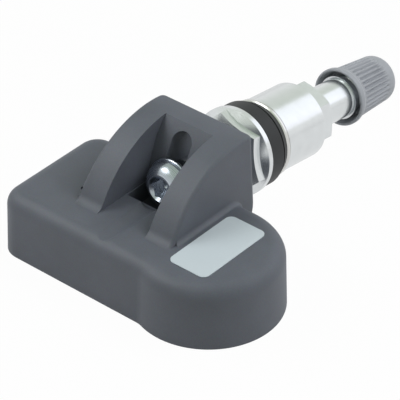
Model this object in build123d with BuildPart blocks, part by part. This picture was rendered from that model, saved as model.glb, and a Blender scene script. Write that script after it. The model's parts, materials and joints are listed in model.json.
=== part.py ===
# Tyre pressure sensor: a moulded housing with its electronics, and a swivelling clamp-in valve.
# Millimetres. X runs across the housing, Y along the valve towards its cap, Z up from the base.
# The origin lies on the base, under the valve's mid plane and the middle of the bracket.
import os
from math import asin, cos, pi, radians, sin, sqrt, tan

from build123d import *

os.makedirs("parts", exist_ok=True)

# Housing shell
HOUSING_HEIGHT = 13.1
LEFT_REACH = 25.1  # valve plane to the square end
BACK_REACH = 7.4  # origin to the back wall
LOBE_X = 15.7  # centre of the round end
FRONT_BULGE = 0.9  # how far the round end stands proud of the long front face
CORNER_RADIUS = 4.8
WAIST_RADIUS = 4.0
TOP_EDGE_RADIUS = 3.0
WALL_DRAFT = 1.8  # degrees
SHELL_WALL = 1.8
ROOF_THICKNESS = 1.8

# Bracket that carries the valve
BRACKET_WIDTH = 23.4  # where it meets the top face
BRACKET_LEAN = 0.7  # how far each side leans in at the top
BRACKET_RISE = 12.3  # above the top face, at the dome's highest line
BRACKET_BACK = 11.2
DOME_RADIUS = 21.5
DOME_TOP_Y = 7.0  # the dome's highest line
BRACKET_EDGE_RADIUS = 0.7
BRACKET_BACK_RADIUS = 1.2  # its two upright back edges
FOOT_RADIUS = 1.1  # hollow blend along the sides of its foot
FRONT_FOOT_RADIUS = 2.6  # and in front of the ribs
FOOT_SINK = 0.3  # how far the blend reaches into the roof
FOOT_DIP = 0.04  # sets the blend's thin edge just under the top face
GUSSET_TOP = 11.5
GUSSET_FOOT = 2.6
CHANNEL_WIDTH = 11.5  # between the two ribs

# Swivel: everything on the valve turns about a line across the flange
HINGE_BEHIND = 9.4  # from the back of the bracket
HINGE_BELOW_TOP = 1.0  # below the housing's top face
VALVE_DROOP = 7.6  # degrees below level at the lower end of the slot
TILT_RANGE = 23.0  # degrees of further droop
SWIVEL_RADIUS = 19.7  # front face of the slotted wall
SWIVEL_WALL = 3.0
SLOT_WIDTH = 4.6
SLOT_SPARE = 0.6  # degrees of slot beyond the screw at each end
NECK_ROOM = 0.35  # all round the valve's neck

# Screw pocket, driver groove and air port in the top face
POCKET_WIDTH = 10.9
POCKET_FRONT = 5.4  # in front of the origin
POCKET_SPARE = 0.45  # under the screw's washer
GROOVE_WIDTH = 4.0
GROOVE_DEPTH = 0.8
GROOVE_RISE = 2.0  # degrees, so that it fades towards the front
PORT_INSET = 12.0  # from the square end
PORT_Y = -9.1
PORT_RADIUS = 0.5
BOSS_RADIUS = 2.6
CORE_WIDTH = 15.0  # solid plastic under the bracket
CORE_FRONT = 7.4
CORE_FLOOR = 1.9  # plastic left under the screw pocket

# Base cover
COVER_THICKNESS = 1.6
COVER_RIM = 0.9  # housing wall left around the cover
COVER_GAP = 0.08
POST_RADIUS = 1.5
POST_HEIGHT = 1.4
PEG_RADIUS = 0.6
PEG_GAP = 0.08
PEG_PROUD = 0.5

# Label
LABEL_RIGHT = 2.0  # from the centre of the round end
LABEL_BACK = 0.2
LABEL_WIDTH = 8.8
LABEL_LENGTH = 17.8
LABEL_CORNER = 1.4
LABEL_THICKNESS = 0.12

# Electronics
BOARD_THICKNESS = 1.0
BOARD_LENGTH = 27.6
BOARD_CORNER = 3.0
BOARD_GAP = 0.7  # from the shell and from the battery
BOARD_BACK_GAP = 2.2  # from the back wall
POST_INSET = 3.2
BATTERY_RADIUS = 12.25
CELL_GAP = 0.45  # between the battery and the shell
BATTERY_HEIGHT = 5.0
BATTERY_EDGE = 0.6
CAN_STEP = 1.1
TAB_THICKNESS = 0.2
TAB_WIDTH = 4.0
TAB_OVERLAP = 6.0
TAB_FOOT = 2.2
TAB_Y = 6.0  # each side of the battery's centre
CHIP_SIDE = 6.0
CHIP_HEIGHT = 2.0
CHIP_EDGE = 0.25
SEAL_RADIUS = 2.2
SEAL_BORE = 0.8
SEAL_HEIGHT = 1.2
RESONATOR_LENGTH = 5.0
RESONATOR_WIDTH = 3.2
RESONATOR_HEIGHT = 1.3
RESONATOR_GAP = 2.22  # from the foot of the battery's upper tab
RESONATOR_INSET = 6.7  # from the board's front edge
COIL_LENGTH = 11.0
COIL_WIDTH = 3.6
COIL_HEIGHT = 3.0
COIL_END = 1.4
COIL_WAIST = 0.5
COIL_INSET = 3.5
ANTENNA_WIRE = 0.45  # radius
ANTENNA_BEND = 1.6
ANTENNA_RISE = 5.5
ANTENNA_LENGTH = 17.0
ANTENNA_INSET = 1.6  # from the board's front edge
ANTENNA_SIDE = 3.1  # from the board's left edge
CAPACITOR_LENGTH = 2.0
CAPACITOR_WIDTH = 1.25
CAPACITOR_HEIGHT = 1.0
CAPACITOR_PITCH = 2.4
CAPACITOR_INSET = 13.1  # from the board's left edge to the row's middle
CAPACITOR_Y = -3.2

# Valve stem; places along the valve count from the swivel line, outwards
NECK_RADIUS = 3.4
NECK_GAP = 0.12  # between the neck's round end and the slotted wall
HEX_INNER_END = -5.2
HEX_FLATS = 15.0
HEX_TURN = -45.0  # degrees
HEX_CHAMFER = 1.3
FLANGE_BACK = -1.9
FLANGE_FRONT = -0.8
FLANGE_RADIUS = 9.0
FLANGE_CONE = 1.4  # length of the flange's conical back
FLANGE_CONE_RADIUS = 6.8  # at its small end
THREAD_RADIUS = 4.9
THREAD_END = 20.5
STEM_RADIUS = 4.1
STEM_STEP = 0.7
GROOVE_PLACE = 30.7
GROOVE_LENGTH = 0.6
RING_LENGTH = 1.0
RING_RADIUS = 4.5
TIP_THREAD_RADIUS = 3.85
TIP_END = 43.5
TIP_CHAMFER = 0.5
AIR_BORE = 1.75
AIR_OUTLET_PLACE = -8.1
AIR_OUTLET_RADIUS = 1.2
CORE_BORE = 2.6
CORE_SEAT_DEPTH = 6.1  # below the stem's tip
THROAT_BORE = 2.0
THROAT_DEPTH = 12.4  # below the stem's tip
RUNNING_FIT = 0.08
SEAT_GAP = 0.05

# Rubber grommet, thrust washer and union nut
GROMMET_RADIUS = 8.7
GROMMET_EDGE = 0.5
GROMMET_BAND = 3.8
GROMMET_GROOVE = 0.5
LIP_RADIUS = 8.5
LIP_LENGTH = 1.4
LIP_FRONT_RADIUS = 7.9
SPIGOT_RADIUS = 5.65  # fills the wheel's valve hole
SPIGOT_LENGTH = 2.4
SPIGOT_ROOM = 0.2
WASHER_RADIUS = 8.1
WASHER_THICKNESS = 0.9
WASHER_EDGE = 0.2
NUT_RADIUS = 7.75
NUT_COLLAR = 0.9
NUT_COLLAR_STEP = 0.2
NUT_BODY = 11.3
NUT_SHOULDER = 1.0
NUT_HEX = 3.4
NUT_HEX_FLATS = 12.0
NUT_HEX_TURN = -42.0  # degrees
NUT_CHAMFER = 0.6
NUT_RECESS = 2.7
NUT_RECESS_ROOM = 0.25

# Valve cap
CAP_DEPTH = 12.1  # how far the stem's tip reaches into it
CAP_SKIRT_RADIUS = 6.0
CAP_SKIRT_LENGTH = 2.0
CAP_LIP_LENGTH = 0.9  # full width of the skirt, before it narrows
CAP_LIP_EDGE = 0.35
CAP_MOUTH_RADIUS = 5.4
CAP_MOUTH_DEPTH = 2.6
CAP_THROAT_RADIUS = 4.6  # at the bottom of the flared mouth
CAP_ROOT_RADIUS = 5.5
CAP_TOP_RADIUS = 4.9
CAP_LENGTH = 14.7
CAP_DOME = 3.0
CAP_RIBS = 32
CAP_GROOVE_RADIUS = 0.22
CAP_GROOVE_START = 2.4
CAP_GROOVE_END = 11.0
GASKET_THICKNESS = 0.5
GASKET_BORE = 1.5
GASKET_ROOM = 0.1

# Valve core
PLUG_RADIUS = 2.5
PLUG_LENGTH = 4.0
PLUG_TOP_DEPTH = 0.9  # below the stem's tip
SLEEVE_RADIUS = 1.85
SLEEVE_LENGTH = 3.9
SPRING_ROOM = 1.55
SPRING_SEAT = 0.5  # plug floor under the spring
PIN_RADIUS = 0.5
PIN_ROOM = 0.1
PIN_PROUD = 0.6
PIN_COLLAR_RADIUS = 1.3
PIN_COLLAR = 0.5
PIN_TAIL = 0.6
SPRING_MEAN = 1.05
SPRING_WIRE = 0.17
SPRING_TURNS = 4.5
CORE_SEAL_HEIGHT = 0.8
CUP_RADIUS = 1.6
CUP_HEIGHT = 1.5
CUP_EDGE = 0.3

# Clamp screw
SCREW_RADIUS = 2.0
SCREW_LENGTH = 9.5  # under the head
HEAD_RADIUS = 4.75
HEAD_HEIGHT = 2.8
HEAD_RIM = 0.5
HEAD_LAND = 2.9
HEAD_DOME = 3.0
SOCKET_FLATS = 4.0
SOCKET_DEPTH = 2.0
SOCKET_LEAD = 0.25  # widening at the socket's mouth
LOCK_WASHER_RADIUS = 5.1
LOCK_WASHER_THICKNESS = 0.8
LOCK_WASHER_EDGE = 0.15

# Places that follow from the sizes above
LOBE_RADIUS = BATTERY_RADIUS + CELL_GAP + SHELL_WALL
LOBE_Y = BACK_REACH - LOBE_RADIUS
FRONT_Y = LOBE_Y - LOBE_RADIUS + FRONT_BULGE
PORT_X = PORT_INSET - LEFT_REACH
WAIST_X = LOBE_X - sqrt(LOBE_RADIUS**2 - (LOBE_RADIUS - FRONT_BULGE) ** 2)
BRACKET_TOP = HOUSING_HEIGHT + BRACKET_RISE
DOME_CENTRE_Z = BRACKET_TOP - DOME_RADIUS
FOOT_LEVEL = HOUSING_HEIGHT - FOOT_DIP
DOME_FOOT_Y = DOME_TOP_Y - sqrt(DOME_RADIUS**2 - (FOOT_LEVEL - DOME_CENTRE_Z) ** 2)
RIDGE_Z = DOME_CENTRE_Z + sqrt(DOME_RADIUS**2 - (BRACKET_BACK - DOME_TOP_Y) ** 2)
HINGE = Vector(0, BRACKET_BACK + HINGE_BEHIND, HOUSING_HEIGHT - HINGE_BELOW_TOP)
REACH = LEFT_REACH + LOBE_X + 2 * LOBE_RADIUS  # longer than any cut needs


def valve_direction(droop):
    """Unit vector along the valve, outwards, at a droop in degrees."""
    return Vector(0, cos(radians(droop)), -sin(radians(droop)))


def valve_up(droop):
    """Unit vector square to the valve and to X, on the upper side."""
    return Vector(0, sin(radians(droop)), cos(radians(droop)))


VALVE = valve_direction(VALVE_DROOP)
VALVE_AXIS = Axis(HINGE, VALVE)
# Section through the valve: local x is the radius, local y the place along the valve.
VALVE_SECTION = Plane(origin=HINGE, x_dir=(1, 0, 0), z_dir=valve_up(VALVE_DROOP))


def across_valve(place):
    """Plane square to the valve at a place along it."""
    return Plane(origin=HINGE + VALVE * place, x_dir=(1, 0, 0), z_dir=VALVE)


# Outline of the housing on its base
with BuildSketch() as outline:
    with BuildLine():
        Line((-LEFT_REACH, FRONT_Y), (WAIST_X, FRONT_Y))
        ThreePointArc((WAIST_X, FRONT_Y), (LOBE_X + LOBE_RADIUS, LOBE_Y), (LOBE_X, BACK_REACH))
        Line((LOBE_X, BACK_REACH), (-LEFT_REACH, BACK_REACH))
        Line((-LEFT_REACH, BACK_REACH), (-LEFT_REACH, FRONT_Y))
    make_face()
    fillet(outline.vertices().group_by(Axis.X)[0], CORNER_RADIUS)
    fillet(outline.vertices().sort_by_distance((WAIST_X, FRONT_Y, 0))[0], WAIST_RADIUS)

# Side view of the bracket, drawn flat: the dome runs into the top face through a hollow blend
blend_front = DOME_FOOT_Y - FRONT_FOOT_RADIUS
with BuildSketch() as side_view:
    with BuildLine():
        RadiusArc((DOME_FOOT_Y, FOOT_LEVEL), (BRACKET_BACK, RIDGE_Z), DOME_RADIUS)
        Polyline(
            (BRACKET_BACK, RIDGE_Z),
            (BRACKET_BACK, GUSSET_TOP),
            (BACK_REACH, GUSSET_FOOT),
            (BACK_REACH - SHELL_WALL, GUSSET_FOOT),
            (blend_front, HOUSING_HEIGHT - FOOT_SINK),
            (blend_front, FOOT_LEVEL),
            (DOME_FOOT_Y, FOOT_LEVEL),
        )
    make_face()
    fillet(side_view.vertices().sort_by_distance((DOME_FOOT_Y, FOOT_LEVEL, 0))[0], FRONT_FOOT_RADIUS)

# Bracket: a domed block with leaning sides and rounded back edges
half_width = BRACKET_WIDTH / 2
side_slope = BRACKET_LEAN / BRACKET_RISE
base_half = half_width + side_slope * HOUSING_HEIGHT
top_half = half_width - BRACKET_LEAN
with BuildPart() as bracket:
    with BuildSketch(Plane.YZ):
        add(side_view.sketch)
    extrude(amount=base_half, both=True)
    with BuildSketch(Plane.XZ):
        with BuildLine():
            Polyline((-base_half, 0), (base_half, 0), (top_half, BRACKET_TOP), (-top_half, BRACKET_TOP), close=True)
        make_face()
    extrude(amount=REACH, both=True, mode=Mode.INTERSECT)
    outer = bracket.edges().filter_by(lambda edge: abs(edge.center().X) > half_width / 2)
    fillet(outer.group_by(Axis.Y)[-1], BRACKET_BACK_RADIUS)
    upper = bracket.edges().filter_by(lambda edge: edge.center().Z > HOUSING_HEIGHT + BRACKET_RISE / 2)
    sides = upper.filter_by(lambda edge: abs(edge.center().X) > half_width / 2 and edge.center().Y < BRACKET_BACK)
    ridge = upper.filter_by(Axis.X).group_by(Axis.Y)[-1]
    fillet(sides + ridge, BRACKET_EDGE_RADIUS)

# Foot of the bracket: the hollow blend along its sides, carried over the rounded back edge of the top
foot_side = half_width + side_slope * FOOT_DIP
foot_out = foot_side + 2 * FOOT_RADIUS
foot_top = FOOT_LEVEL + 2 * FOOT_RADIUS
foot_in = foot_side - 2 * FOOT_RADIUS * side_slope
edge_centre_z = HOUSING_HEIGHT - TOP_EDGE_RADIUS
draft = radians(WALL_DRAFT)
edge_centre_y = BACK_REACH - edge_centre_z * tan(draft) - TOP_EDGE_RADIUS / cos(draft)
with BuildPart() as foot:
    with BuildSketch(Plane.XZ.offset(-edge_centre_y)) as foot_section:
        with BuildLine():
            Polyline(
                (-foot_out, HOUSING_HEIGHT - FOOT_SINK),
                (foot_out, HOUSING_HEIGHT - FOOT_SINK),
                (foot_out, FOOT_LEVEL),
                (foot_side, FOOT_LEVEL),
                (foot_in, foot_top),
                (-foot_in, foot_top),
                (-foot_side, FOOT_LEVEL),
                (-foot_out, FOOT_LEVEL),
                close=True,
            )
        make_face()
        for side in (-foot_side, foot_side):
            fillet(foot_section.vertices().sort_by_distance((side, FOOT_LEVEL, 0))[0], FOOT_RADIUS)
    extrude(amount=edge_centre_y - DOME_FOOT_Y)
    with BuildSketch(Plane.YZ):
        with Locations((DOME_TOP_Y, DOME_CENTRE_Z)):
            Circle(DOME_RADIUS - BRACKET_EDGE_RADIUS)
    extrude(amount=foot_out, both=True, mode=Mode.INTERSECT)
    revolve(foot_section.sketch, axis=Axis((0, edge_centre_y, edge_centre_z), (-1, 0, 0)), revolution_arc=90)

# Channel between the two ribs, ended by the curved front of the slotted wall
with BuildPart() as channel:
    with BuildSketch(Plane.YZ):
        with Locations((HINGE.Y - REACH / 2, HOUSING_HEIGHT)):
            Rectangle(REACH, BRACKET_RISE * 2, align=(Align.CENTER, Align.MIN))
        with Locations((HINGE.Y, HINGE.Z)):
            Circle(SWIVEL_RADIUS, mode=Mode.SUBTRACT)
    extrude(amount=CHANNEL_WIDTH / 2, both=True)

# Screw pocket: room for the screw's washer at the slot's lower end
washer_outer_place = -SWIVEL_RADIUS - SEAT_GAP - LOCK_WASHER_THICKNESS
washer_low = HINGE + VALVE * washer_outer_place - valve_up(VALVE_DROOP) * LOCK_WASHER_RADIUS
pocket_floor = min(washer_low.Z, (washer_low + VALVE * LOCK_WASHER_THICKNESS).Z) - POCKET_SPARE
core_underside = pocket_floor - CORE_FLOOR
with BuildPart() as screw_pocket:
    with BuildSketch(Plane.YZ):
        with Locations((-POCKET_FRONT, pocket_floor)):
            Rectangle(HINGE.Y + POCKET_FRONT, BRACKET_RISE, align=(Align.MIN, Align.MIN))
        with Locations((HINGE.Y, HINGE.Z)):
            Circle(SWIVEL_RADIUS, mode=Mode.SUBTRACT)
    extrude(amount=POCKET_WIDTH / 2, both=True)
    with BuildSketch(Plane.YZ):
        with Locations((0, HOUSING_HEIGHT + BRACKET_RISE / 2)):
            Rectangle(REACH, BRACKET_RISE)
    extrude(amount=POCKET_WIDTH, both=True, mode=Mode.SUBTRACT)

# Neck room: the space that the valve's neck sweeps behind the slotted wall
neck_wall_radius = SWIVEL_RADIUS - SWIVEL_WALL
neck_half = NECK_RADIUS + NECK_ROOM
neck_front = sqrt(neck_wall_radius**2 - neck_half**2)
low_front = HINGE - VALVE * neck_front - valve_up(VALVE_DROOP) * neck_half
top_droop = VALVE_DROOP + TILT_RANGE
top_front = HINGE - valve_direction(top_droop) * neck_front + valve_up(top_droop) * neck_half
middle_droop = VALVE_DROOP + TILT_RANGE / 2
wall_middle = HINGE - valve_direction(middle_droop) * neck_wall_radius
with BuildPart() as neck_room:
    with BuildSketch(Plane.YZ):
        with BuildLine():
            ThreePointArc(
                (low_front.Y, low_front.Z), (wall_middle.Y, wall_middle.Z), (top_front.Y, top_front.Z)
            )
            Polyline(
                (top_front.Y, top_front.Z),
                (HINGE.Y, top_front.Z - (HINGE.Y - top_front.Y) * tan(radians(top_droop))),
                (HINGE.Y, low_front.Z - (HINGE.Y - low_front.Y) * tan(radians(VALVE_DROOP))),
                (low_front.Y, low_front.Z),
            )
        make_face()
    extrude(amount=neck_half, both=True)

# Slot: the screw's path through the wall, round at both ends
slot_low = VALVE_DROOP - SLOT_SPARE
slot_high = VALVE_DROOP + TILT_RANGE + SLOT_SPARE
with BuildPart() as slot:
    with BuildSketch(Plane(origin=HINGE, x_dir=(1, 0, 0), z_dir=valve_up(slot_low))):
        with Locations((0, -SWIVEL_RADIUS)):
            Rectangle(SLOT_WIDTH, SWIVEL_WALL * 3)
    revolve(axis=Axis(HINGE, (-1, 0, 0)), revolution_arc=slot_high - slot_low)
    for droop in (slot_low, slot_high):
        end = HINGE - valve_direction(droop) * (SWIVEL_RADIUS + SWIVEL_WALL)
        with BuildSketch(Plane(origin=end, x_dir=(1, 0, 0), z_dir=valve_direction(droop))):
            Circle(SLOT_WIDTH / 2)
        extrude(amount=SWIVEL_WALL * 2.5)

# Hollow for the electronics, open to the base
board_top = COVER_THICKNESS + POST_HEIGHT + BOARD_THICKNESS
boss_end = board_top + CHIP_HEIGHT + SEAL_HEIGHT
with BuildPart() as hollow:
    with BuildSketch():
        add(outline.sketch)
        offset(amount=-SHELL_WALL)
    extrude(amount=HOUSING_HEIGHT - ROOF_THICKNESS)
    with BuildSketch(Plane.XY.offset(core_underside)):
        with Locations((0, -CORE_FRONT)):
            Rectangle(CORE_WIDTH, REACH, align=(Align.CENTER, Align.MIN))
    extrude(amount=HOUSING_HEIGHT, mode=Mode.SUBTRACT)
    with BuildSketch(Plane.XY.offset(boss_end)):
        with Locations((PORT_X, PORT_Y)):
            Circle(BOSS_RADIUS)
    extrude(amount=HOUSING_HEIGHT, mode=Mode.SUBTRACT)
    with BuildSketch():
        add(outline.sketch)
        offset(amount=-COVER_RIM)
    extrude(amount=COVER_THICKNESS)

# Housing: the shell and the bracket are one moulding
groove_radius = ((GROOVE_WIDTH / 2) ** 2 + GROOVE_DEPTH**2) / (2 * GROOVE_DEPTH)
groove_along = Vector(0, -cos(radians(GROOVE_RISE)), sin(radians(GROOVE_RISE)))
groove_from = Vector(0, SEAT_GAP - POCKET_FRONT, HOUSING_HEIGHT - GROOVE_DEPTH + groove_radius)
with BuildPart() as housing:
    with BuildSketch():
        add(outline.sketch)
    extrude(amount=HOUSING_HEIGHT, taper=WALL_DRAFT)
    fillet(housing.faces().sort_by(Axis.Z)[-1].edges(), TOP_EDGE_RADIUS)
    add(bracket.part)
    add(foot.part)
    add(channel.part, mode=Mode.SUBTRACT)
    add(hollow.part, mode=Mode.SUBTRACT)
    add(screw_pocket.part, mode=Mode.SUBTRACT)
    add(neck_room.part, mode=Mode.SUBTRACT)
    add(slot.part, mode=Mode.SUBTRACT)
    with BuildSketch(Plane(origin=groove_from, x_dir=(1, 0, 0), z_dir=groove_along)):
        Circle(groove_radius)
    extrude(amount=REACH, mode=Mode.SUBTRACT)
    with BuildSketch(Plane.XY):
        with Locations((PORT_X, PORT_Y)):
            Circle(PORT_RADIUS)
    extrude(amount=REACH, mode=Mode.SUBTRACT)
housing.part.label = "housing"
export_step(housing.part, "parts/housing.step")

# Circuit board, cut back round the battery
board_left = -LEFT_REACH + SHELL_WALL + BOARD_GAP
board_front = FRONT_Y + SHELL_WALL + BOARD_GAP
board_depth = BACK_REACH - SHELL_WALL - BOARD_BACK_GAP - board_front
post_places = [
    (board_left + POST_INSET, board_front + POST_INSET),
    (board_left + POST_INSET, board_front + board_depth - POST_INSET),
    (board_left + BOARD_LENGTH / 2 + POST_INSET, board_front + POST_INSET),
    (board_left + BOARD_LENGTH / 2, board_front + board_depth - POST_INSET),
]
with BuildPart() as circuit_board:
    with BuildSketch(Plane.XY.offset(COVER_THICKNESS + POST_HEIGHT)) as board_outline:
        with Locations((board_left, board_front)):
            Rectangle(BOARD_LENGTH, board_depth, align=(Align.MIN, Align.MIN))
        fillet(board_outline.vertices().group_by(Axis.X)[0], BOARD_CORNER)
        with Locations((LOBE_X, LOBE_Y)):
            Circle(BATTERY_RADIUS + BOARD_GAP, mode=Mode.SUBTRACT)
        with Locations(*post_places):
            Circle(PEG_RADIUS + PEG_GAP, mode=Mode.SUBTRACT)
    extrude(amount=BOARD_THICKNESS)
circuit_board.part.label = "circuit_board"
export_step(circuit_board.part, "parts/circuit_board.step")

# Base cover with the posts and pegs that hold the board
with BuildPart() as base_cover:
    with BuildSketch():
        add(outline.sketch)
        offset(amount=-COVER_RIM - COVER_GAP)
    extrude(amount=COVER_THICKNESS)
    with BuildSketch(Plane.XY.offset(COVER_THICKNESS)):
        with Locations(*post_places):
            Circle(POST_RADIUS)
    extrude(amount=POST_HEIGHT)
    with BuildSketch(Plane.XY.offset(COVER_THICKNESS + POST_HEIGHT)):
        with Locations(*post_places):
            Circle(PEG_RADIUS)
    extrude(amount=BOARD_THICKNESS + PEG_PROUD)
base_cover.part.label = "base_cover"
export_step(base_cover.part, "parts/base_cover.step")

# Blank label on the round end
with BuildPart() as label:
    with BuildSketch(Plane.XY.offset(HOUSING_HEIGHT)):
        with Locations((LOBE_X + LABEL_RIGHT, LOBE_Y + LABEL_BACK)):
            RectangleRounded(LABEL_WIDTH, LABEL_LENGTH, LABEL_CORNER)
    extrude(amount=LABEL_THICKNESS)
label.part.label = "label"
export_step(label.part, "parts/label.step")

# Coin cell in the round end: a wide can over a narrower lower cup
battery_bottom = COVER_THICKNESS + TAB_THICKNESS
battery_top = battery_bottom + BATTERY_HEIGHT
with BuildPart() as battery:
    with BuildSketch(Plane.XZ.offset(-LOBE_Y)):
        with BuildLine():
            Polyline(
                (LOBE_X, battery_bottom),
                (LOBE_X + BATTERY_RADIUS - CAN_STEP, battery_bottom),
                (LOBE_X + BATTERY_RADIUS - CAN_STEP, battery_bottom + BATTERY_EDGE),
                (LOBE_X + BATTERY_RADIUS, battery_bottom + BATTERY_EDGE),
                (LOBE_X + BATTERY_RADIUS, battery_top - BATTERY_EDGE),
                (LOBE_X + BATTERY_RADIUS - BATTERY_EDGE, battery_top),
                (LOBE_X, battery_top),
                close=True,
            )
        make_face()
    revolve(axis=Axis((LOBE_X, LOBE_Y, 0), (0, 0, 1)))
battery.part.label = "battery"
export_step(battery.part, "parts/battery.step")

# Battery tabs: strips bent from sheet, from the cell to the board
edge_at_tab = LOBE_X - sqrt(BATTERY_RADIUS**2 - TAB_Y**2)
tab_riser = edge_at_tab - BOARD_GAP - 2 * TAB_THICKNESS
half_tab = TAB_THICKNESS / 2
with BuildPart() as positive_tab:
    with BuildSketch(Plane.XZ.offset(-LOBE_Y + TAB_Y)):
        with BuildLine():
            Polyline(
                (edge_at_tab + TAB_OVERLAP, battery_top + half_tab),
                (tab_riser, battery_top + half_tab),
                (tab_riser, board_top + half_tab),
                (tab_riser - TAB_FOOT, board_top + half_tab),
            )
        trace(line_width=TAB_THICKNESS)
    extrude(amount=TAB_WIDTH / 2, both=True)
positive_tab.part.label = "positive_tab"
export_step(positive_tab.part, "parts/positive_tab.step")

board_bottom = COVER_THICKNESS + POST_HEIGHT
with BuildPart() as negative_tab:
    with BuildSketch(Plane.XZ.offset(-LOBE_Y - TAB_Y)):
        with BuildLine():
            Polyline(
                (edge_at_tab + TAB_OVERLAP, COVER_THICKNESS + half_tab),
                (tab_riser, COVER_THICKNESS + half_tab),
                (tab_riser, board_bottom - half_tab),
                (tab_riser - TAB_FOOT, board_bottom - half_tab),
            )
        trace(line_width=TAB_THICKNESS)
    extrude(amount=TAB_WIDTH / 2, both=True)
negative_tab.part.label = "negative_tab"
export_step(negative_tab.part, "parts/negative_tab.step")

# Pressure chip under the air port, with its inlet
with BuildPart() as sensor_chip:
    with BuildSketch(Plane.XY.offset(board_top)):
        with Locations((PORT_X, PORT_Y)):
            Rectangle(CHIP_SIDE, CHIP_SIDE)
    extrude(amount=CHIP_HEIGHT)
    chamfer(sensor_chip.faces().sort_by(Axis.Z)[-1].edges(), CHIP_EDGE)
    with BuildSketch(Plane.XY.offset(board_top + CHIP_HEIGHT)):
        with Locations((PORT_X, PORT_Y)):
            Circle(PORT_RADIUS)
    extrude(amount=-CHIP_HEIGHT / 2, mode=Mode.SUBTRACT)
sensor_chip.part.label = "sensor_chip"
export_step(sensor_chip.part, "parts/sensor_chip.step")

# Rubber ring that seals the chip's inlet to the port
with BuildPart() as port_seal:
    with BuildSketch(Plane.XY.offset(board_top + CHIP_HEIGHT)):
        with Locations((PORT_X, PORT_Y)):
            Circle(SEAL_RADIUS)
            Circle(SEAL_BORE, mode=Mode.SUBTRACT)
    extrude(amount=SEAL_HEIGHT)
port_seal.part.label = "port_seal"
export_step(port_seal.part, "parts/port_seal.step")

# Resonator can, beside the tab's foot
resonator_x = tab_riser - TAB_FOOT - RESONATOR_GAP - RESONATOR_LENGTH / 2
with BuildPart() as resonator:
    with BuildSketch(Plane.XY.offset(board_top)):
        with Locations((resonator_x, board_front + RESONATOR_INSET)):
            RectangleRounded(RESONATOR_LENGTH, RESONATOR_WIDTH, CHIP_EDGE)
    extrude(amount=RESONATOR_HEIGHT)
    fillet(resonator.faces().sort_by(Axis.Z)[-1].edges(), CHIP_EDGE / 2)
resonator.part.label = "resonator"
export_step(resonator.part, "parts/resonator.step")

# Wake-up coil: a waisted winding between two end blocks
coil_x = board_left + COIL_INSET
coil_y = board_front + board_depth / 2
with BuildPart() as wake_coil:
    with BuildSketch(Plane.XY.offset(board_top)):
        with Locations((coil_x, coil_y)):
            Rectangle(COIL_WIDTH - 2 * COIL_WAIST, COIL_LENGTH)
            with GridLocations(0, COIL_LENGTH - COIL_END, 1, 2):
                Rectangle(COIL_WIDTH, COIL_END)
    extrude(amount=COIL_HEIGHT)
wake_coil.part.label = "wake_coil"
export_step(wake_coil.part, "parts/wake_coil.step")

# Antenna: one bent wire that stands on the board along its front edge
antenna_y = board_front + ANTENNA_INSET
antenna_top = board_top + ANTENNA_RISE
antenna_left = board_left + ANTENNA_SIDE
antenna_right = antenna_left + ANTENNA_LENGTH
with BuildPart() as antenna:
    with BuildLine():
        FilletPolyline(
            (antenna_left, antenna_y, board_top),
            (antenna_left, antenna_y, antenna_top),
            (antenna_right, antenna_y, antenna_top),
            (antenna_right, antenna_y, board_top),
            radius=ANTENNA_BEND,
        )
    with BuildSketch(Plane(origin=(antenna_left, antenna_y, board_top), z_dir=(0, 0, 1))):
        Circle(ANTENNA_WIRE)
    sweep()
antenna.part.label = "antenna"
export_step(antenna.part, "parts/antenna.step")

# Row of chip capacitors
with BuildPart() as chip_capacitors:
    with BuildSketch(Plane.XY.offset(board_top)):
        with Locations((board_left + CAPACITOR_INSET, CAPACITOR_Y)):
            with GridLocations(CAPACITOR_PITCH, 0, 4, 1):
                Rectangle(CAPACITOR_WIDTH, CAPACITOR_LENGTH)
    extrude(amount=CAPACITOR_HEIGHT)
chip_capacitors.part.label = "chip_capacitors"
export_step(chip_capacitors.part, "parts/chip_capacitors.step")

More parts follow.
